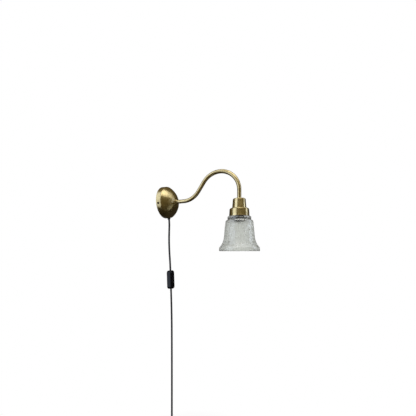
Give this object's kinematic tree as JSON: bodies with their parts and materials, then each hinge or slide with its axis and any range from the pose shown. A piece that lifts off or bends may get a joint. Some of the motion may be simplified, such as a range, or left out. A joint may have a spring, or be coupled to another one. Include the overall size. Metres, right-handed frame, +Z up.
{
  "type": "wall lamp",
  "caption": "Plug-in wall lamp: domed brass wall plate, swan-neck tube, stepped lampholder cover, ribbed glass bell shade, black cord with an inline rocker switch",
  "frame": {"origin": "middle of the wall plate, on the wall", "axes": "+Z up, -Y out of the wall into the room, +X to the right seen from the room"},
  "size_m": [0.1158, 0.3054, 0.968],
  "materials": {
    "brass": "brushed, patinated",
    "dark_screw": "blackened",
    "steel": "zinc plated",
    "nipple_brass": "plain turned",
    "grommet": "satin",
    "clear_nylon": "milky",
    "cord": "satin",
    "lead": "satin",
    "wire": "satin",
    "holder": "moulded",
    "porcelain": "glazed",
    "shade_glass": "pressed, ribbed",
    "switch": "satin moulded",
    "tie": "woven",
    "plug": "moulded"
  },
  "bodies": {
    "lamp": {"canopy": "brass", "arm_tube": "brass", "arm_collar": "brass", "upper_cup": "brass", "lower_cup": "brass", "canopy_screws": "dark_screw", "wall_disc": "steel", "arm_nut": "steel", "arm_washer": "steel", "cord_clamp_screws": "steel", "terminal_screws": "steel", "switch_screws": "steel", "arm_base_nipple": "nipple_brass", "arm_end_nipple": "nipple_brass", "screw_shell": "nipple_brass", "holder_terminals": "nipple_brass", "switch_terminals": "nipple_brass", "plug_pins": "nipple_brass", "cord_grommet": "grommet", "cord_clamp": "clear_nylon", "terminal_block": "clear_nylon", "inlet_lead": "cord", "cord_upper": "cord", "cord_lower": "cord", "cord_coil": "cord", "cord_tail": "cord", "arm_lead": "lead", "block_wires": "wire", "holder_wires": "wire", "holder_cap": "holder", "holder_skirt": "holder", "holder_core": "porcelain", "switch_base": "switch", "switch_cover": "switch", "coil_tie": "tie", "plug_relief": "plug", "plug_body": "plug"},
    "glass": {"glass_shade": "shade_glass"},
    "ring": {"shade_ring": "holder"},
    "contact": {"centre_contact": "nipple_brass"},
    "rocker": {"switch_rocker": "switch"},
    "seesaw": {"switch_seesaw": "nipple_brass"}
  },
  "joints": [
    {"name": "shade_drop", "type": "slide", "parent": "lamp", "child": "glass", "axis": [0, 0, -1], "range_m": [0, 0.008]},
    {"name": "ring_turn", "type": "hinge", "parent": "glass", "child": "ring", "pos_m": [0, -0.24752, -0.064], "axis": [0, 0, -1], "range_deg": [0, 1440]},
    {"name": "contact_press", "type": "hinge", "parent": "lamp", "child": "contact", "pos_m": [-0.0056, -0.24752, -0.036], "axis": [0, 1, 0], "range_deg": [-14, 0], "stiffness_Nm_per_rad": 0.02},
    {"name": "rocker_tip", "type": "hinge", "parent": "lamp", "child": "rocker", "pos_m": [0.0145, -0.0169, -0.25038], "axis": [1, 0, 0], "range_deg": [-14, 0]},
    {"name": "seesaw_tip", "type": "hinge", "parent": "lamp", "child": "seesaw", "pos_m": [0.0145, -0.0109, -0.2506], "axis": [1, 0, 0], "range_deg": [0, 12]}
  ],
  "couplings": [
    {"joint": "ring_turn", "follows": "shade_drop", "rad_per_m": 3141.6},
    {"joint": "seesaw_tip", "follows": "rocker_tip", "ratio": -0.85714}
  ]
}
